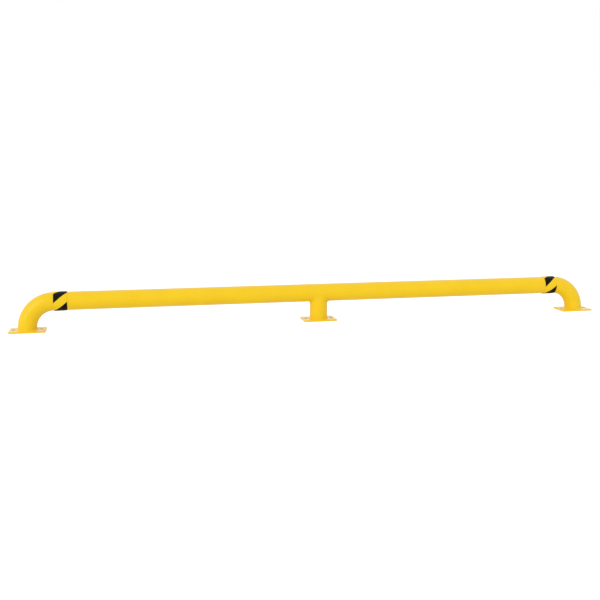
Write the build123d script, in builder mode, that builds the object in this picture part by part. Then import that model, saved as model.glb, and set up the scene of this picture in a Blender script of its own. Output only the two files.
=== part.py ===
from build123d import *
import math
import os

os.makedirs("parts", exist_ok=True)

# Low guard rail of round steel pipe: a long straight rail, welded elbows that turn down to the floor
# at both ends, and a short post under the middle, each standing on a bolted base plate.
# Millimetres. X runs along the rail, Z is up, and the origin is on the floor under the rail's middle.

# Pipe and its layout
pipe_diameter = 108.0
pipe_wall = 4.0
overall_length = 3657.6
bend_radius = 152.4
elbow_rail_length = 10.0

# Base plates, longer along the rail than across it
plate_length = 203.2
plate_width = 139.7
plate_thickness = 9.5
plate_corner_radius = 6.0
plate_edge_break = 1.0
anchor_hole_diameter = 17.5
anchor_end_distance = 22.2

# Fillet welds round the three feet
foot_weld_leg = 7.0
foot_margin = 1.0

# Butt welds between the rail and the elbows, dressed flush with the pipe under the tape
butt_root_gap = 2.0
butt_bevel_angle = 30.0
butt_cutter_margin = 1.0

# Saddle weld where the post's coped top meets the rail
cope_gap = 1.0
saddle_bead_radius = 7.0
saddle_bead_sides = 10
saddle_front_crown = 1.8
saddle_overrun = 12.0

# Hazard tape, one turn of thick wrap round the rail beside each bend
tape_width = 76.2
tape_thickness = 2.5
stripe_pairs = 3
stripe_lean = 41.0
tape_seam_gap = 0.5
stripe_sections = 5

pipe_radius = pipe_diameter / 2
bore_radius = pipe_radius - pipe_wall
leg_offset = (overall_length - plate_length) / 2
elbow_foot_length = foot_weld_leg + foot_margin
bend_start_height = plate_thickness + elbow_foot_length
rail_height = bend_start_height + bend_radius
bend_end_offset = leg_offset - bend_radius
joint_offset = bend_end_offset - elbow_rail_length
tape_radius = pipe_radius + tape_thickness
tape_offset = bend_end_offset - tape_width / 2
rail_axis = Axis((0, 0, rail_height), (1, 0, 0))

ends = {"left": -1, "right": 1}
feet = {"left": -leg_offset, "centre": 0.0, "right": leg_offset}


# Base plates: sheared steel plate with two anchor holes on the rail's line
for name, foot_x in feet.items():
    with BuildPart() as base_plate:
        with BuildSketch(Plane((foot_x, 0, 0))):
            RectangleRounded(plate_length, plate_width, plate_corner_radius)
        extrude(amount=plate_thickness)
        top_face = base_plate.faces().sort_by(Axis.Z)[-1]
        chamfer(top_face.edges(), plate_edge_break)
        with BuildSketch(Plane((foot_x, 0, plate_thickness))):
            with GridLocations(plate_length - 2 * anchor_end_distance, 0, 2, 1):
                Circle(anchor_hole_diameter / 2)
        extrude(amount=-plate_thickness, mode=Mode.SUBTRACT)
    base_plate.part.label = f"{name}_base_plate"
    export_step(base_plate.part, f"parts/{name}_base_plate.step")


# Foot welds: a full ring of fillet weld in the corner between each foot and its plate
for name, foot_x in feet.items():
    with BuildPart() as foot_weld:
        with BuildSketch(Plane(origin=(foot_x, 0, plate_thickness), x_dir=(1, 0, 0), z_dir=(0, -1, 0))):
            with BuildLine():
                Polyline(
                    (pipe_radius, 0),
                    (pipe_radius + foot_weld_leg, 0),
                    (pipe_radius, foot_weld_leg),
                    close=True,
                )
            make_face()
        revolve(axis=Axis((foot_x, 0, 0), (0, 0, 1)))
    foot_weld.part.label = f"{name}_foot_weld"
    export_step(foot_weld.part, f"parts/{name}_foot_weld.step")


def groove_ring(side, inner_radius, outer_radius):
    """Ring with the section of the V between two bevelled pipe ends, cut off at two radii."""
    bevel_slope = math.tan(math.radians(butt_bevel_angle))
    half_inner = butt_root_gap / 2 + (inner_radius - bore_radius) * bevel_slope
    half_outer = butt_root_gap / 2 + (outer_radius - bore_radius) * bevel_slope
    joint_plane = Plane(origin=(side * joint_offset, 0, rail_height), x_dir=(1, 0, 0), z_dir=(0, -1, 0))
    with BuildPart() as ring:
        with BuildSketch(joint_plane):
            with BuildLine():
                Polyline(
                    (-half_inner, inner_radius),
                    (half_inner, inner_radius),
                    (half_outer, outer_radius),
                    (-half_outer, outer_radius),
                    close=True,
                )
            make_face()
        revolve(axis=rail_axis)
    return ring.part


# Butt welds: each fills the V between the bevelled ends of the rail and an elbow
for name, side in ends.items():
    with BuildPart() as butt_weld:
        add(groove_ring(side, bore_radius, pipe_radius))
    butt_weld.part.label = f"{name}_butt_weld"
    export_step(butt_weld.part, f"parts/{name}_butt_weld.step")


# The cutters that bevel the pipe ends run a little past both sides of the wall
cutter_inner = bore_radius - butt_cutter_margin
cutter_outer = pipe_radius + butt_cutter_margin


# Rail: straight pipe, its ends bevelled for the butt welds
with BuildPart() as rail_pipe:
    with BuildSketch(Plane(origin=(-joint_offset, 0, rail_height), z_dir=(1, 0, 0))):
        Circle(pipe_radius)
        Circle(bore_radius, mode=Mode.SUBTRACT)
    extrude(amount=2 * joint_offset)
    for side in ends.values():
        add(groove_ring(side, cutter_inner, cutter_outer), mode=Mode.SUBTRACT)
rail_pipe.part.label = "rail_pipe"
export_step(rail_pipe.part, "parts/rail_pipe.step")


# Elbows: long-radius bends of the same pipe, with a short straight length at the foot and at the rail
for name, side in ends.items():
    foot_x = side * leg_offset
    bend_start = Plane((foot_x, 0, bend_start_height))
    bend_end = Plane(origin=(side * bend_end_offset, 0, rail_height), z_dir=(side, 0, 0))
    with BuildPart() as elbow:
        with BuildSketch(bend_start):
            Circle(pipe_radius)
            Circle(bore_radius, mode=Mode.SUBTRACT)
        extrude(amount=-elbow_foot_length)
        with BuildSketch(bend_start):
            Circle(pipe_radius)
            Circle(bore_radius, mode=Mode.SUBTRACT)
        revolve(axis=Axis((side * bend_end_offset, 0, bend_start_height), (0, -side, 0)), revolution_arc=90)
        with BuildSketch(bend_end):
            Circle(pipe_radius)
            Circle(bore_radius, mode=Mode.SUBTRACT)
        extrude(amount=-elbow_rail_length)
        add(groove_ring(side, cutter_inner, cutter_outer), mode=Mode.SUBTRACT)
    elbow.part.label = f"{name}_elbow"
    export_step(elbow.part, f"parts/{name}_elbow.step")


# Centre post: a stub of the same pipe, its top coped to the rail with an open root
with BuildPart() as centre_post:
    with BuildSketch(Plane.XY.offset(plate_thickness)):
        Circle(pipe_radius)
        Circle(bore_radius, mode=Mode.SUBTRACT)
    extrude(amount=rail_height - plate_thickness)
    with Locations((0, 0, rail_height)):
        Cylinder(pipe_radius + cope_gap, pipe_diameter * 2, rotation=(0, 90, 0), mode=Mode.SUBTRACT)
centre_post.part.label = "centre_post"
export_step(centre_post.part, "parts/centre_post.step")


# The same post without its bore, which cuts the saddle weld to the outside and the root
with BuildPart() as coped_blank:
    with BuildSketch(Plane.XY.offset(plate_thickness)):
        Circle(pipe_radius)
    extrude(amount=rail_height - plate_thickness)
    with Locations((0, 0, rail_height)):
        Cylinder(pipe_radius + cope_gap, pipe_diameter * 2, rotation=(0, 90, 0), mode=Mode.SUBTRACT)


# Saddle weld: two pipes of one size meet along half ellipses in 45 degree planes, so one bead is swept
# along the half on the right, mitred at the middle and mirrored. It is full in the side corners, low
# over the front and back, and fills the open root.
saddle_plane = Plane(origin=(0, 0, rail_height), x_dir=(1, 0, -1), z_dir=(1, 0, 1))
saddle_reach = pipe_radius * math.sqrt(2)
saddle_depth = pipe_radius + saddle_front_crown - saddle_bead_radius
with BuildPart() as saddle_weld:
    with BuildLine(saddle_plane) as saddle_line:
        Line((-saddle_overrun, -saddle_depth), (0, -saddle_depth))
        EllipticalCenterArc((0, 0), saddle_reach, saddle_depth, start_angle=-90, arc_size=180)
        Line((0, saddle_depth), (-saddle_overrun, saddle_depth))
    saddle_path = saddle_line.wire()
    with BuildSketch(Plane(origin=saddle_path @ 0, z_dir=saddle_path % 0)):
        RegularPolygon(saddle_bead_radius, saddle_bead_sides)
    sweep(path=saddle_path)
    with Locations((0, 0, rail_height)):
        Box(
            pipe_diameter * 2,
            pipe_diameter * 2,
            pipe_diameter * 2,
            align=(Align.MAX, Align.CENTER, Align.CENTER),
            mode=Mode.SUBTRACT,
        )
    add(coped_blank.part, mode=Mode.SUBTRACT)
    with Locations((0, 0, rail_height)):
        Cylinder(pipe_radius, pipe_diameter * 2, rotation=(0, 90, 0), mode=Mode.SUBTRACT)
    Cylinder(bore_radius, rail_height * 2, mode=Mode.SUBTRACT)
    mirror(about=Plane.YZ)
saddle_weld.part.label = "post_saddle_weld"
export_step(saddle_weld.part, "parts/post_saddle_weld.step")


# Hazard tape: black and yellow stripes that run round the rail on a slant and divide the turn evenly,
# with a yellow one at the front and the wrap's two ends butted together at the back
stripe_turn = 360 / stripe_pairs / 2
stripe_twist = math.degrees(math.tan(math.radians(stripe_lean)) / tape_radius)


def stripe_wedge(tape_middle, middle_angle):
    """Twisted wedge through the rail's wall whose two sides run along one stripe's edges."""
    wedge_inner = pipe_radius / 2
    wedge_outer = pipe_diameter
    wedge_length = tape_width * 1.1
    with BuildPart() as wedge:
        for number in range(stripe_sections):
            across = wedge_length * (number / (stripe_sections - 1) - 0.5)
            low = math.radians(middle_angle + stripe_twist * across - stripe_turn / 2)
            high = math.radians(middle_angle + stripe_twist * across + stripe_turn / 2)
            section_at = (tape_middle + across, 0, rail_height)
            with BuildSketch(Plane(origin=section_at, x_dir=(0, -1, 0), z_dir=(-1, 0, 0))):
                with BuildLine():
                    Polyline(
                        (wedge_inner * math.cos(low), wedge_inner * math.sin(low)),
                        (wedge_outer * math.cos(low), wedge_outer * math.sin(low)),
                        (wedge_outer * math.cos(high), wedge_outer * math.sin(high)),
                        (wedge_inner * math.cos(high), wedge_inner * math.sin(high)),
                        close=True,
                    )
                make_face()
        loft()
    return wedge.part


for name, side in ends.items():
    tape_middle = side * tape_offset
    with BuildPart() as band:
        with BuildSketch(Plane(origin=(tape_middle, 0, rail_height), z_dir=(1, 0, 0))):
            Circle(tape_radius)
            Circle(pipe_radius, mode=Mode.SUBTRACT)
        extrude(amount=tape_width / 2, both=True)
        with Locations((tape_middle, pipe_radius, rail_height)):
            Box(tape_width * 2, pipe_radius, tape_seam_gap, mode=Mode.SUBTRACT)
    with BuildPart() as black_stripes:
        for number in range(stripe_pairs):
            add(stripe_wedge(tape_middle, stripe_turn * (2 * number + 1)))
        add(band.part, mode=Mode.INTERSECT)
    with BuildPart() as yellow_stripes:
        add(band.part)
        add(black_stripes.part, mode=Mode.SUBTRACT)
    black_stripes.part.label = f"{name}_tape_black_stripes"
    yellow_stripes.part.label = f"{name}_tape_yellow_stripes"
    export_step(black_stripes.part, f"parts/{name}_tape_black_stripes.step")
    export_step(yellow_stripes.part, f"parts/{name}_tape_yellow_stripes.step")
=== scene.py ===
import math

import bmesh
import bpy
from mathutils import Matrix, Vector


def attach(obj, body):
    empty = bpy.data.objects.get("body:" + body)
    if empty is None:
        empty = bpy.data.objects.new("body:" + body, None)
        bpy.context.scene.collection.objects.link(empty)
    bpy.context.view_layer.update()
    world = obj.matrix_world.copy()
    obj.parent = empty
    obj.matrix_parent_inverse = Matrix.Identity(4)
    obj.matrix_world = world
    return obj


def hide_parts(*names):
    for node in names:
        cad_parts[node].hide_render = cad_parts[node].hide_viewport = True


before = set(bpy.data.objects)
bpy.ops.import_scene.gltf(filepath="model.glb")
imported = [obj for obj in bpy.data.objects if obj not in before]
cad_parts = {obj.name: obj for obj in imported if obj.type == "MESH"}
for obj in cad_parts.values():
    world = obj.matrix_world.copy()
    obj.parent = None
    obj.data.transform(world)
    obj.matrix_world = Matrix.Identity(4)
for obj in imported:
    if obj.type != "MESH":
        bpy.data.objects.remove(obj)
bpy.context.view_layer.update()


# Powder coat: all the steel is welded up first, blasted, and sprayed with one satin safety yellow coat.
# It hides the steel's own grain but keeps a fine orange peel, and a little dust settles on what faces up.
coat_yellow = (0.960, 0.632, 0.006, 1.0)
coat_shade = (0.935, 0.600, 0.005, 1.0)
dust_colour = (0.78, 0.70, 0.45, 1.0)


def dust_group():
    """Node group: a colour and a roughness with a thin film of dust on the faces that look up."""
    group = bpy.data.node_groups.new("settled_dust", "ShaderNodeTree")
    for direction, name, kind in (
        ("INPUT", "Colour", "NodeSocketColor"),
        ("INPUT", "Roughness", "NodeSocketFloat"),
        ("INPUT", "Amount", "NodeSocketFloat"),
        ("OUTPUT", "Colour", "NodeSocketColor"),
        ("OUTPUT", "Roughness", "NodeSocketFloat"),
    ):
        group.interface.new_socket(name, in_out=direction, socket_type=kind)
    nodes, links = group.nodes, group.links
    given = nodes.new("NodeGroupInput")
    result = nodes.new("NodeGroupOutput")
    place = nodes.new("ShaderNodeTexCoord")
    facing = nodes.new("ShaderNodeSeparateXYZ")
    links.new(nodes.new("ShaderNodeNewGeometry").outputs["Normal"], facing.inputs[0])
    upward = nodes.new("ShaderNodeMapRange")
    upward.interpolation_type = "SMOOTHSTEP"
    upward.inputs["From Min"].default_value = 0.55
    upward.inputs["From Max"].default_value = 1.0
    links.new(facing.outputs["Z"], upward.inputs["Value"])
    patches = nodes.new("ShaderNodeTexNoise")
    patches.inputs["Scale"].default_value = 26.0
    patches.inputs["Detail"].default_value = 6.0
    patches.inputs["Roughness"].default_value = 0.62
    links.new(place.outputs["Object"], patches.inputs["Vector"])
    broken = nodes.new("ShaderNodeMapRange")
    broken.inputs["From Min"].default_value = 0.38
    broken.inputs["From Max"].default_value = 0.72
    links.new(patches.outputs["Fac"], broken.inputs["Value"])
    settled = nodes.new("ShaderNodeMath")
    settled.operation = "MULTIPLY"
    links.new(upward.outputs["Result"], settled.inputs[0])
    links.new(broken.outputs["Result"], settled.inputs[1])
    amount = nodes.new("ShaderNodeMath")
    amount.operation = "MULTIPLY"
    links.new(settled.outputs[0], amount.inputs[0])
    links.new(given.outputs["Amount"], amount.inputs[1])
    tint = nodes.new("ShaderNodeMix")
    tint.data_type = "RGBA"
    tint.inputs["B"].default_value = dust_colour
    links.new(amount.outputs[0], tint.inputs["Factor"])
    links.new(given.outputs["Colour"], tint.inputs["A"])
    links.new(tint.outputs["Result"], result.inputs["Colour"])
    dull = nodes.new("ShaderNodeMath")
    dull.operation = "ADD"
    links.new(given.outputs["Roughness"], dull.inputs[0])
    links.new(amount.outputs[0], dull.inputs[1])
    links.new(dull.outputs[0], result.inputs["Roughness"])
    return group


settled_dust = dust_group()


def powder_coat():
    """Material: satin yellow powder coat with orange peel, cloudy film thickness and light dust."""
    material = bpy.data.materials.new("yellow_powder_coat")
    material.use_nodes = True
    nodes, links = material.node_tree.nodes, material.node_tree.links
    shader = nodes["Principled BSDF"]
    shader.inputs["IOR"].default_value = 1.5
    shader.inputs["Specular IOR Level"].default_value = 0.10
    shader.inputs["Coat Weight"].default_value = 1.0
    shader.inputs["Coat IOR"].default_value = 1.28
    shader.inputs["Coat Roughness"].default_value = 0.14
    place = nodes.new("ShaderNodeTexCoord")

    clouds = nodes.new("ShaderNodeTexNoise")
    clouds.inputs["Scale"].default_value = 9.0
    clouds.inputs["Detail"].default_value = 4.0
    links.new(place.outputs["Object"], clouds.inputs["Vector"])
    film = nodes.new("ShaderNodeMapRange")
    film.inputs["From Min"].default_value = 0.35
    film.inputs["From Max"].default_value = 0.70
    links.new(clouds.outputs["Fac"], film.inputs["Value"])
    colour = nodes.new("ShaderNodeMix")
    colour.data_type = "RGBA"
    colour.inputs["A"].default_value = coat_yellow
    colour.inputs["B"].default_value = coat_shade
    links.new(film.outputs["Result"], colour.inputs["Factor"])

    gloss = nodes.new("ShaderNodeMapRange")
    gloss.inputs["To Min"].default_value = 0.36
    gloss.inputs["To Max"].default_value = 0.46
    links.new(clouds.outputs["Fac"], gloss.inputs["Value"])
    dust = nodes.new("ShaderNodeGroup")
    dust.node_tree = settled_dust
    dust.inputs["Amount"].default_value = 0.05
    links.new(colour.outputs["Result"], dust.inputs["Colour"])
    links.new(gloss.outputs["Result"], dust.inputs["Roughness"])
    links.new(dust.outputs["Colour"], shader.inputs["Base Color"])
    links.new(dust.outputs["Roughness"], shader.inputs["Roughness"])

    peel = nodes.new("ShaderNodeTexNoise")
    peel.inputs["Scale"].default_value = 420.0
    peel.inputs["Detail"].default_value = 2.0
    links.new(place.outputs["Object"], peel.inputs["Vector"])
    skin = nodes.new("ShaderNodeBump")
    skin.inputs["Strength"].default_value = 0.35
    skin.inputs["Distance"].default_value = 0.00012
    links.new(peel.outputs["Fac"], skin.inputs["Height"])
    links.new(skin.outputs["Normal"], shader.inputs["Normal"])
    return material


yellow_coat = powder_coat()


# Rail: one straight length of round steel pipe, 108 mm across with a 4 mm wall, cut square and bevelled
# at both ends for the welds to the elbows.
pipe_radius = 0.0540
pipe_wall = 0.0040
pipe_facets = 160
sharp_edge = math.radians(35)
rail_height = 0.1699
joint_x = 1.5648
root_half_gap = 0.0010
cap_half_gap = 0.00331


def make_piece(name, mesh_in_work, material, slot_name, *nodes):
    """The finished piece: its mesh in the row frame, shaded smooth, riding on the body for its CAD nodes."""
    bmesh.ops.recalc_face_normals(mesh_in_work, faces=mesh_in_work.faces)
    if mesh_in_work.calc_volume(signed=True) < 0:
        bmesh.ops.reverse_faces(mesh_in_work, faces=mesh_in_work.faces)
    for face in mesh_in_work.faces:
        face.smooth = True
    mesh = bpy.data.meshes.new(name)
    mesh_in_work.to_mesh(mesh)
    mesh_in_work.free()
    mesh.set_sharp_from_angle(angle=sharp_edge)
    mesh.materials.append(material)
    piece = bpy.data.objects.new(name, mesh)
    bpy.context.scene.collection.objects.link(piece)
    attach(piece, "root")
    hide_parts(*nodes)
    return piece


def spin_section(work, points, centre, axis, steps):
    """A closed ring: the section through the points, spun one full turn round the axis."""
    corners = [work.verts.new(point) for point in points]
    for first, second in zip(corners, corners[1:] + corners[:1]):
        work.edges.new((first, second))
    bmesh.ops.spin(
        work, geom=work.verts[:] + work.edges[:], cent=centre, axis=axis,
        angle=math.tau, steps=steps, use_merge=True,
    )


rail = bmesh.new()
spin_section(rail, [
    (-joint_x + root_half_gap, 0, rail_height + pipe_radius - pipe_wall),
    (-joint_x + cap_half_gap, 0, rail_height + pipe_radius),
    (0, 0, rail_height + pipe_radius),
    (joint_x - cap_half_gap, 0, rail_height + pipe_radius),
    (joint_x - root_half_gap, 0, rail_height + pipe_radius - pipe_wall),
    (0, 0, rail_height + pipe_radius - pipe_wall),
], (0, 0, rail_height), (1, 0, 0), pipe_facets)
make_piece("rail_pipe_coated", rail, yellow_coat, "yellow_coating", "rail_pipe")


# Elbows: two long-radius weld elbows of the same pipe, bent on a 152.4 mm centreline. Each has a short
# straight foot that stands on its base plate, and a short straight end that is bevelled and butt welded.
bend_radius = 0.1524
bend_end_x = 1.5748
bend_steps = 56
leg_x = 1.7272
plate_thickness = 0.0095
bend_start = rail_height - bend_radius

for side_name, side in (("left", -1), ("right", 1)):
    elbow = bmesh.new()
    bore = elbow.verts.new((side * leg_x + pipe_radius - pipe_wall, 0, plate_thickness))
    skin = elbow.verts.new((side * leg_x + pipe_radius, 0, plate_thickness))
    bmesh.ops.spin(
        elbow, geom=[bore, skin, elbow.edges.new((bore, skin))], cent=(side * leg_x, 0, plate_thickness),
        axis=(0, 0, 1), angle=math.tau, steps=pipe_facets, use_merge=True,
    )
    straight = bmesh.ops.extrude_face_region(elbow, geom=elbow.faces[:])["geom"]
    bmesh.ops.translate(
        elbow, vec=(0, 0, bend_start - plate_thickness),
        verts=[item for item in straight if isinstance(item, bmesh.types.BMVert)],
    )
    bend = bmesh.ops.spin(
        elbow, geom=straight, cent=(side * bend_end_x, 0, bend_start), axis=(0, -side, 0),
        angle=math.pi / 2, steps=bend_steps,
    )
    rail_end = bmesh.ops.extrude_face_region(elbow, geom=bend["geom_last"])["geom"]
    for item in rail_end:
        if isinstance(item, bmesh.types.BMVert):
            on_skin = math.hypot(item.co.y, item.co.z - rail_height) > pipe_radius - pipe_wall / 2
            item.co.x = side * (joint_x + (cap_half_gap if on_skin else root_half_gap))
    make_piece(f"{side_name}_elbow_coated", elbow, yellow_coat, "yellow_coating", f"{side_name}_elbow")


# Butt welds: each fills the V between the bevelled ends of the rail and an elbow. They are ground flush
# with the pipe before coating, so the tape over them lies flat.
for side_name, side in (("left", -1), ("right", 1)):
    filling = bmesh.new()
    spin_section(filling, [
        (side * joint_x - root_half_gap, 0, rail_height + pipe_radius - pipe_wall),
        (side * joint_x - cap_half_gap, 0, rail_height + pipe_radius),
        (side * joint_x + cap_half_gap, 0, rail_height + pipe_radius),
        (side * joint_x + root_half_gap, 0, rail_height + pipe_radius - pipe_wall),
    ], (0, 0, rail_height), (1, 0, 0), pipe_facets)
    make_piece(
        f"{side_name}_butt_weld_coated", filling, yellow_coat, "yellow_coating", f"{side_name}_butt_weld",
    )


# Base plates: three pieces of 9.5 mm steel plate, cut with rounded corners and two holes on the rail's
# line for floor anchors. The coat rounds their edges a little. The hole walls are darker: partly a thin coat
# there, partly painted shade in the holes.
plate_length = 0.2032
plate_width = 0.1397
plate_corner = 0.0060
corner_facets = 8
edge_round = 0.0010
rim_facets = 3
rim_angle = math.radians(60)
flat_tolerance = 1e-5
hole_radius = 0.00875
hole_half_spacing = 0.0794
hole_facets = 48
drill_length = 3 * plate_thickness
# Dark olive for the hole walls: partly thin coat over steel, partly painted shade in the holes.
thin_coat_and_painted_shade_colour = (0.240, 0.180, 0.020, 1.0)

plate_coat = yellow_coat.copy()
plate_coat.name = "yellow_plate_coat"
nodes, links = plate_coat.node_tree.nodes, plate_coat.node_tree.links
sprayed = nodes["Principled BSDF"].inputs["Base Color"].links[0].from_socket
# Hole walls darkened towards the dark olive and broken up by noise: partly thin coat, partly painted shade.
hole_wall = nodes.new("ShaderNodeAttribute")
hole_wall.attribute_name = "thin_coat_and_painted_shade"
overspray = nodes.new("ShaderNodeTexNoise")
overspray.inputs["Scale"].default_value = 240.0
links.new(nodes["Texture Coordinate"].outputs["Object"], overspray.inputs["Vector"])
cover = nodes.new("ShaderNodeMapRange")
cover.inputs["To Min"].default_value = 1.0
cover.inputs["To Max"].default_value = 0.55
links.new(overspray.outputs["Fac"], cover.inputs["Value"])
thin_coat_and_shade_amount = nodes.new("ShaderNodeMath")
thin_coat_and_shade_amount.operation = "MULTIPLY"
links.new(hole_wall.outputs["Fac"], thin_coat_and_shade_amount.inputs[0])
links.new(cover.outputs["Result"], thin_coat_and_shade_amount.inputs[1])
thin_coat_and_shade_mix = nodes.new("ShaderNodeMix")
thin_coat_and_shade_mix.data_type = "RGBA"
thin_coat_and_shade_mix.inputs["B"].default_value = thin_coat_and_painted_shade_colour
links.new(thin_coat_and_shade_amount.outputs[0], thin_coat_and_shade_mix.inputs["Factor"])
links.new(sprayed, thin_coat_and_shade_mix.inputs["A"])
links.new(thin_coat_and_shade_mix.outputs["Result"], nodes["Principled BSDF"].inputs["Base Color"])

for place_name, plate_x in (("left", -leg_x), ("centre", 0.0), ("right", leg_x)):
    plate = bmesh.new()
    bmesh.ops.create_cube(
        plate, size=1,
        matrix=Matrix.Translation((plate_x, 0, plate_thickness / 2))
        @ Matrix.Diagonal((plate_length, plate_width, plate_thickness, 1)),
    )
    upright = [edge for edge in plate.edges
               if abs(edge.verts[0].co.z - edge.verts[1].co.z) > plate_thickness / 2]
    bmesh.ops.bevel(
        plate, geom=upright, offset=plate_corner, segments=corner_facets, profile=0.5,
        affect="EDGES", material=-1,
    )
    plate_mesh = bpy.data.meshes.new("plate_blank")
    plate.to_mesh(plate_mesh)
    plate.free()
    blank = bpy.data.objects.new("plate_blank", plate_mesh)
    bpy.context.scene.collection.objects.link(blank)

    drill = bmesh.new()
    for hole_side in (-1, 1):
        bmesh.ops.create_cone(
            drill, cap_ends=True, segments=hole_facets, radius1=hole_radius, radius2=hole_radius,
            depth=drill_length,
            matrix=Matrix.Translation((plate_x + hole_side * hole_half_spacing, 0, plate_thickness / 2)),
        )
    drill_mesh = bpy.data.meshes.new("plate_drill")
    drill.to_mesh(drill_mesh)
    drill.free()
    drill_tool = bpy.data.objects.new("plate_drill", drill_mesh)
    bpy.context.scene.collection.objects.link(drill_tool)
    holes = blank.modifiers.new("anchor_holes", "BOOLEAN")
    holes.operation = "DIFFERENCE"
    holes.solver = "EXACT"
    holes.object = drill_tool
    drilled = blank.evaluated_get(bpy.context.evaluated_depsgraph_get())
    plate = bmesh.new()
    plate.from_mesh(drilled.to_mesh())
    drilled.to_mesh_clear()
    for leftover in (blank, drill_tool):
        bpy.data.objects.remove(leftover)
    rims = [edge for edge in plate.edges if edge.calc_face_angle(0) > rim_angle
            and abs(edge.verts[0].co.z - edge.verts[1].co.z) < flat_tolerance]
    bmesh.ops.bevel(
        plate, geom=rims, offset=edge_round, segments=rim_facets, profile=0.5, affect="EDGES", material=-1,
    )
    # Where the thin coat and painted shade go: full on the hole walls, fading out across the rim's rounding.
    thin_coat_and_painted_shade = plate.verts.layers.float.new("thin_coat_and_painted_shade")
    for corner in plate.verts:
        hole_x = plate_x + math.copysign(hole_half_spacing, corner.co.x - plate_x)
        from_wall = math.hypot(corner.co.x - hole_x, corner.co.y) - hole_radius
        corner[thin_coat_and_painted_shade] = max(0.0, 1.0 - max(0.0, from_wall) / edge_round)
    make_piece(f"{place_name}_plate_coated", plate, plate_coat, "yellow_coating", f"{place_name}_base_plate")


# Foot welds: one full fillet weld run by hand round each foot, coated with the rest. The bead keeps its
# ripples, and its width wanders a little on the way round.
weld_leg = 0.0070
weld_hollow = 0.20
weld_face_facets = 8
weld_steps = 720
weld_ripples = 120
ripple_height = 0.00022
ripple_bow = 14.0
ripple_fade = 0.0020
root_in_pipe = 0.0004
root_in_plate = 0.0002
root_reach = 0.0003
slow_wander = 0.06
quick_wander = 0.04

for place_name, foot_x, phase in (("left", -leg_x, 0.4), ("centre", 0.0, 2.1), ("right", leg_x, 4.0)):
    bead = bmesh.new()
    toe_high = Vector((foot_x + pipe_radius, 0, plate_thickness + weld_leg))
    root = Vector((foot_x + pipe_radius - root_in_pipe, 0, plate_thickness - root_in_plate))
    toe_low = Vector((foot_x + pipe_radius + weld_leg, 0, plate_thickness))
    bead_face = []
    for number in range(1, weld_face_facets):
        turn = math.pi / 2 * number / weld_face_facets
        reach = weld_leg * (1 - weld_hollow * math.sin(2 * turn))
        bead_face.append(root + Vector((math.sin(turn), 0, math.cos(turn))) * reach)
    spin_section(bead, [root, toe_high] + bead_face + [toe_low], (foot_x, 0, 0), (0, 0, 1), weld_steps)
    for corner in bead.verts:
        arm = Vector((corner.co.x - foot_x, corner.co.y, 0))
        turn = math.atan2(arm.y, arm.x)
        outward = arm.length - pipe_radius
        upward = corner.co.z - plate_thickness
        if outward < root_reach and upward < root_reach:
            continue
        wander = 1 + slow_wander * math.sin(3 * turn + phase) + quick_wander * math.sin(8 * turn + 2 * phase)
        bow = ripple_bow * outward * upward / weld_leg ** 2
        fade = min(1, outward / ripple_fade, upward / ripple_fade)
        ripple = ripple_height * math.cos(weld_ripples * turn + bow) * fade
        lift = wander + ripple / weld_leg
        arm.normalize()
        corner.co.x = foot_x + arm.x * (pipe_radius + outward * lift)
        corner.co.y = arm.y * (pipe_radius + outward * lift)
        corner.co.z = plate_thickness + upward * lift
    make_piece(f"{place_name}_foot_bead", bead, yellow_coat, "yellow_coating", f"{place_name}_foot_weld")


# Centre post: a short stub of the same pipe that stands on the middle plate. Its top is coped to the
# rail's underside and stops 1 mm short of it for the weld.
cope_gap = 0.0010
cope_radius = pipe_radius + cope_gap

post = bmesh.new()
spin_section(post, [
    (pipe_radius - pipe_wall, 0, plate_thickness),
    (pipe_radius, 0, plate_thickness),
    (pipe_radius, 0, rail_height - pipe_radius),
    (pipe_radius - pipe_wall, 0, rail_height - pipe_radius),
], (0, 0, 0), (0, 0, 1), pipe_facets)
for corner in post.verts:
    if corner.co.z > rail_height / 2:
        corner.co.z = rail_height - math.sqrt(cope_radius ** 2 - corner.co.y ** 2)
make_piece("centre_post_coated", post, yellow_coat, "yellow_coating", "centre_post")


# Saddle weld: one bead run by hand round the joint of the post and the rail, full in the side corners and
# low over the front and back. It is spun as a flat ring, and gets its ripples as it is laid along the joint.
saddle_leg = 0.0072
saddle_crown = 0.0016
saddle_root = 0.0035
saddle_apex_round = 0.075
saddle_embed = 0.0001
saddle_mid_face = 1.5
saddle_face_facets = 12
saddle_steps = 960
saddle_ripples = 140
saddle_bow = 2.2
saddle_slow_wander = 0.05
saddle_quick_wander = 0.03
saddle_travel = 0.085
course_step = 0.001


def saddle_line(turn):
    """Point where the post's wall meets the rail at an angle round the post, rounded over front and back."""
    drop = math.sqrt(math.cos(turn) ** 2 + saddle_apex_round ** 2)
    return Vector((math.cos(turn), math.sin(turn), -drop)) * pipe_radius + Vector((0, 0, rail_height))


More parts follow.
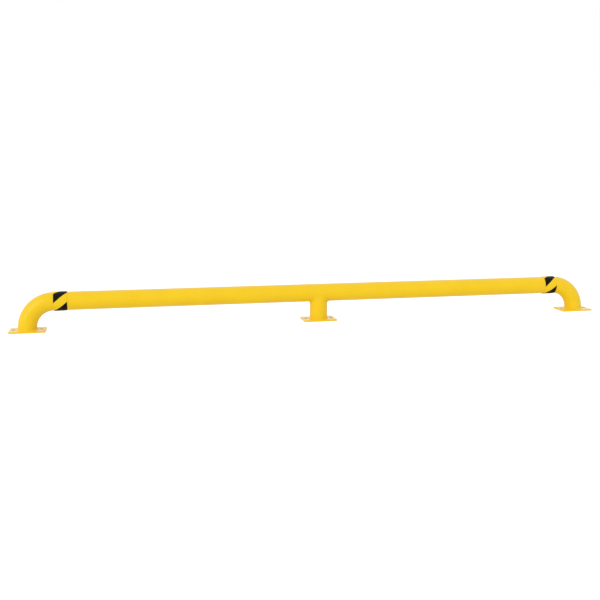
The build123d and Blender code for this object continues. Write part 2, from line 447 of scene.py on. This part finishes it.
saddle = bmesh.new()
bead_face = [(1 + number / saddle_face_facets, 0, 0) for number in range(saddle_face_facets + 1)]
spin_section(
    saddle, [(saddle_mid_face, 0, -saddle_root)] + bead_face, (0, 0, 0), (0, 0, 1), saddle_steps,
)
for corner in saddle.verts:
    turn = math.atan2(corner.co.y, corner.co.x)
    along = math.hypot(corner.co.x, corner.co.y) - 1
    joint = saddle_line(turn)
    course = (saddle_line(turn + course_step) - saddle_line(turn - course_step)).normalized()
    off_post = Vector((joint.x, joint.y, 0)).normalized()
    off_rail = Vector((0, joint.y, joint.z - rail_height)).normalized()
    outward = (off_post + off_rail).normalized()
    upward = outward.cross(course)
    lean = off_post.angle(off_rail) / 2
    wander = 1 + saddle_slow_wander * math.sin(3 * turn + 0.7) + saddle_quick_wander * math.sin(11 * turn)
    post_toe = joint + (outward * math.sin(lean) - upward * math.cos(lean)) * saddle_leg * wander
    rail_toe = joint + (outward * math.sin(lean) + upward * math.cos(lean)) * saddle_leg * wander
    onto_post = (pipe_radius - saddle_embed) / math.hypot(post_toe.x, post_toe.y)
    post_toe = Vector((post_toe.x * onto_post, post_toe.y * onto_post, post_toe.z))
    onto_rail = (pipe_radius - saddle_embed) / math.hypot(rail_toe.y, rail_toe.z - rail_height)
    above_axis = (rail_toe.z - rail_height) * onto_rail
    rail_toe = Vector((rail_toe.x, rail_toe.y * onto_rail, rail_height + above_axis))
    arch = 4 * along * (1 - along)
    travel = turn - saddle_travel * math.sin(2 * turn)
    ripple = ripple_height * math.cos(saddle_ripples * travel + saddle_bow * arch)
    if corner.co.z < -saddle_embed:
        corner.co = joint + outward * corner.co.z
    else:
        corner.co = post_toe.lerp(rail_toe, along) + outward * arch * (saddle_crown + ripple)
make_piece("post_saddle_bead", saddle, yellow_coat, "yellow_coating", "post_saddle_weld")


# Hazard tape: a thick vinyl wrap 76.2 mm wide, one turn round the rail beside each bend. Six slanted
# stripes share the turn, with a yellow one in front, and the wrap's ends butt together behind the rail.
tape_width = 0.0762
tape_thickness = 0.0025
tape_x = 1.5367
tape_steps = 240
tape_edge_round = 0.0006
tape_rim_facets = 3
merge_distance = 1e-6
cut_tolerance = 1e-7
stripe_turn = math.radians(60)
stripe_cuts = range(-4, 4)
stripe_lean = math.radians(41)
seam_gap = 0.0005
tape_black = (0.0030, 0.0034, 0.0034, 1.0)
tape_yellow = (0.965, 0.645, 0.018, 1.0)
scuff_grey = (0.11, 0.11, 0.105, 1.0)


def vinyl_group():
    """Node group: vinyl's fine scuffs on a colour and a roughness, and the height of its slight waves."""
    group = bpy.data.node_groups.new("handled_vinyl", "ShaderNodeTree")
    for direction, name, kind in (
        ("INPUT", "Colour", "NodeSocketColor"),
        ("INPUT", "Roughness", "NodeSocketFloat"),
        ("INPUT", "Scuffs", "NodeSocketFloat"),
        ("OUTPUT", "Colour", "NodeSocketColor"),
        ("OUTPUT", "Roughness", "NodeSocketFloat"),
        ("OUTPUT", "Height", "NodeSocketFloat"),
    ):
        group.interface.new_socket(name, in_out=direction, socket_type=kind)
    nodes, links = group.nodes, group.links
    given = nodes.new("NodeGroupInput")
    result = nodes.new("NodeGroupOutput")
    place = nodes.new("ShaderNodeTexCoord")

    drawn_out = nodes.new("ShaderNodeMapping")
    drawn_out.inputs["Scale"].default_value = (60.0, 320.0, 320.0)
    drawn_out.inputs["Rotation"].default_value = (0.0, 0.35, 0.6)
    links.new(place.outputs["Object"], drawn_out.inputs["Vector"])
    rubs = nodes.new("ShaderNodeTexNoise")
    rubs.inputs["Scale"].default_value = 1.0
    rubs.inputs["Detail"].default_value = 5.0
    rubs.inputs["Roughness"].default_value = 0.7
    rubs.inputs["Distortion"].default_value = 0.6
    links.new(drawn_out.outputs["Vector"], rubs.inputs["Vector"])
    thin = nodes.new("ShaderNodeMapRange")
    thin.inputs["From Min"].default_value = 0.58
    thin.inputs["From Max"].default_value = 0.74
    links.new(rubs.outputs["Fac"], thin.inputs["Value"])
    scuffed = nodes.new("ShaderNodeMath")
    scuffed.operation = "MULTIPLY"
    links.new(thin.outputs["Result"], scuffed.inputs[0])
    links.new(given.outputs["Scuffs"], scuffed.inputs[1])
    tint = nodes.new("ShaderNodeMix")
    tint.data_type = "RGBA"
    tint.inputs["B"].default_value = scuff_grey
    links.new(scuffed.outputs[0], tint.inputs["Factor"])
    links.new(given.outputs["Colour"], tint.inputs["A"])
    links.new(tint.outputs["Result"], result.inputs["Colour"])
    dull = nodes.new("ShaderNodeMath")
    dull.operation = "ADD"
    links.new(given.outputs["Roughness"], dull.inputs[0])
    links.new(scuffed.outputs[0], dull.inputs[1])
    links.new(dull.outputs[0], result.inputs["Roughness"])

    waves = nodes.new("ShaderNodeTexNoise")
    waves.inputs["Scale"].default_value = 55.0
    waves.inputs["Detail"].default_value = 2.0
    links.new(place.outputs["Object"], waves.inputs["Vector"])
    links.new(waves.outputs["Fac"], result.inputs["Height"])
    return group


handled_vinyl = vinyl_group()


def vinyl(name, vinyl_colour, scuffs):
    """Material: satin printed vinyl with faint scuffs, slight waves and light dust."""
    material = bpy.data.materials.new(name)
    material.use_nodes = True
    nodes, links = material.node_tree.nodes, material.node_tree.links
    shader = nodes["Principled BSDF"]
    shader.inputs["IOR"].default_value = 1.5
    shader.inputs["Specular IOR Level"].default_value = 0.09
    surface = nodes.new("ShaderNodeGroup")
    surface.node_tree = handled_vinyl
    surface.inputs["Colour"].default_value = vinyl_colour
    surface.inputs["Roughness"].default_value = 0.42
    surface.inputs["Scuffs"].default_value = scuffs
    dust = nodes.new("ShaderNodeGroup")
    dust.node_tree = settled_dust
    dust.inputs["Amount"].default_value = 0.03
    links.new(surface.outputs["Colour"], dust.inputs["Colour"])
    links.new(surface.outputs["Roughness"], dust.inputs["Roughness"])
    links.new(dust.outputs["Colour"], shader.inputs["Base Color"])
    links.new(dust.outputs["Roughness"], shader.inputs["Roughness"])
    stretch = nodes.new("ShaderNodeBump")
    stretch.inputs["Strength"].default_value = 0.5
    stretch.inputs["Distance"].default_value = 0.0004
    links.new(surface.outputs["Height"], stretch.inputs["Height"])
    links.new(stretch.outputs["Normal"], shader.inputs["Normal"])
    return material


tape_colours = (
    ("yellow", 0, vinyl("yellow_vinyl", tape_yellow, 0.06), "yellow_film"),
    ("black", 1, vinyl("black_vinyl", tape_black, 0.16), "black_film"),
)
tape_radius = pipe_radius + tape_thickness
for side_name, side in (("left", -1), ("right", 1)):
    for colour_name, parity, vinyl_material, slot_name in tape_colours:
        strip = bmesh.new()
        bmesh.ops.create_grid(
            strip, x_segments=1, y_segments=tape_steps, size=0.5,
            matrix=Matrix.Diagonal((tape_width, math.tau * tape_radius - seam_gap, 1, 1)),
        )
        for number in stripe_cuts:
            bmesh.ops.bisect_plane(
                strip, geom=strip.verts[:] + strip.edges[:] + strip.faces[:], dist=cut_tolerance,
                plane_co=(0, tape_radius * stripe_turn * (number + 0.5), 0),
                plane_no=(-math.sin(stripe_lean), math.cos(stripe_lean), 0),
            )
        others = []
        for face in strip.faces:
            middle = face.calc_center_median()
            stripe = round((middle.y - middle.x * math.tan(stripe_lean)) / tape_radius / stripe_turn)
            if stripe % 2 != parity:
                others.append(face)
        bmesh.ops.delete(strip, geom=others, context="FACES")
        raised = bmesh.ops.extrude_face_region(strip, geom=strip.faces[:])["geom"]
        bmesh.ops.translate(
            strip, vec=(0, 0, tape_thickness),
            verts=[item for item in raised if isinstance(item, bmesh.types.BMVert)],
        )
        rims = [edge for edge in strip.edges if all(
            corner.co.z > tape_thickness / 2
            and abs(abs(corner.co.x) - tape_width / 2) < merge_distance
            for corner in edge.verts
        )]
        bmesh.ops.bevel(
            strip, geom=rims, offset=tape_edge_round, segments=tape_rim_facets, profile=0.5,
            affect="EDGES", material=-1,
        )
        bmesh.ops.remove_doubles(strip, verts=strip.verts[:], dist=merge_distance)
        for corner in strip.verts:
            turn = corner.co.y / tape_radius
            reach = pipe_radius + corner.co.z
            corner.co = Vector((
                side * tape_x + corner.co.x, -reach * math.cos(turn), rail_height + reach * math.sin(turn),
            ))
        make_piece(
            f"{side_name}_tape_{colour_name}", strip, vinyl_material, slot_name,
            f"{side_name}_tape_{colour_name}_stripes",
        )


# Floor, light and camera: a white studio floor, one broad soft light from the front left and an even white
# surround, seen from the photograph's side.
floor_half_size = 40.0
floor_colour = (0.90, 0.90, 0.90, 1.0)
floor_glow_level = 0.46

floor_mesh = bmesh.new()
bmesh.ops.create_grid(floor_mesh, x_segments=1, y_segments=1, size=floor_half_size)
floor_data = bpy.data.meshes.new("studio_floor")
floor_mesh.to_mesh(floor_data)
floor_mesh.free()
floor = bpy.data.objects.new("studio_floor", floor_data)
bpy.context.scene.collection.objects.link(floor)

floor_white = bpy.data.materials.new("studio_floor_white")
floor_white.use_nodes = True
nodes, links = floor_white.node_tree.nodes, floor_white.node_tree.links
floor_shader = nodes["Principled BSDF"]
floor_shader.inputs["Base Color"].default_value = floor_colour
floor_shader.inputs["Roughness"].default_value = 1.0
floor_shader.inputs["Specular IOR Level"].default_value = 0.0
floor_shader.inputs["Emission Color"].default_value = (1, 1, 1, 1)
camera_rays = nodes.new("ShaderNodeLightPath")
floor_glow = nodes.new("ShaderNodeMath")
floor_glow.operation = "MULTIPLY"
floor_glow.inputs[1].default_value = floor_glow_level
links.new(camera_rays.outputs["Is Camera Ray"], floor_glow.inputs[0])
links.new(floor_glow.outputs[0], floor_shader.inputs["Emission Strength"])
floor_data.materials.append(floor_white)

world = bpy.data.worlds.new("white_surround")
bpy.context.scene.world = world
world.use_nodes = True
nodes, links = world.node_tree.nodes, world.node_tree.links
surround = nodes["Background"]
surround.inputs["Color"].default_value = (1, 1, 1, 1)
seen = nodes.new("ShaderNodeLightPath")
seen_or_mirrored = nodes.new("ShaderNodeMath")
seen_or_mirrored.operation = "MAXIMUM"
links.new(seen.outputs["Is Camera Ray"], seen_or_mirrored.inputs[0])
links.new(seen.outputs["Is Glossy Ray"], seen_or_mirrored.inputs[1])
surround_level = nodes.new("ShaderNodeMapRange")
surround_level.inputs["To Min"].default_value = 0.80
surround_level.inputs["To Max"].default_value = 1.0
links.new(seen_or_mirrored.outputs[0], surround_level.inputs["Value"])
links.new(surround_level.outputs["Result"], surround.inputs["Strength"])

lamp_data = bpy.data.lights.new("soft_key", "SUN")
lamp_data.energy = 0.80
lamp_data.angle = math.radians(45)
lamp = bpy.data.objects.new("soft_key", lamp_data)
lamp.location = (-4.4, -4.4, 3.0)
lamp.rotation_euler = (-lamp.location).to_track_quat("-Z", "Y").to_euler()
bpy.context.scene.collection.objects.link(lamp)

camera_data = bpy.data.cameras.new("photo_view")
camera_data.sensor_width = 36.0
camera_data.lens = 51.978
camera_data.clip_end = 100.0
camera = bpy.data.objects.new("photo_view", camera_data)
camera.location = (-1.2346, -5.1339, 0.9823)
camera.rotation_euler = (math.radians(90 - 9.2513), 0, math.radians(-12.2812))
bpy.context.scene.collection.objects.link(camera)
bpy.context.scene.camera = camera
bpy.context.scene.view_settings.view_transform = "Standard"
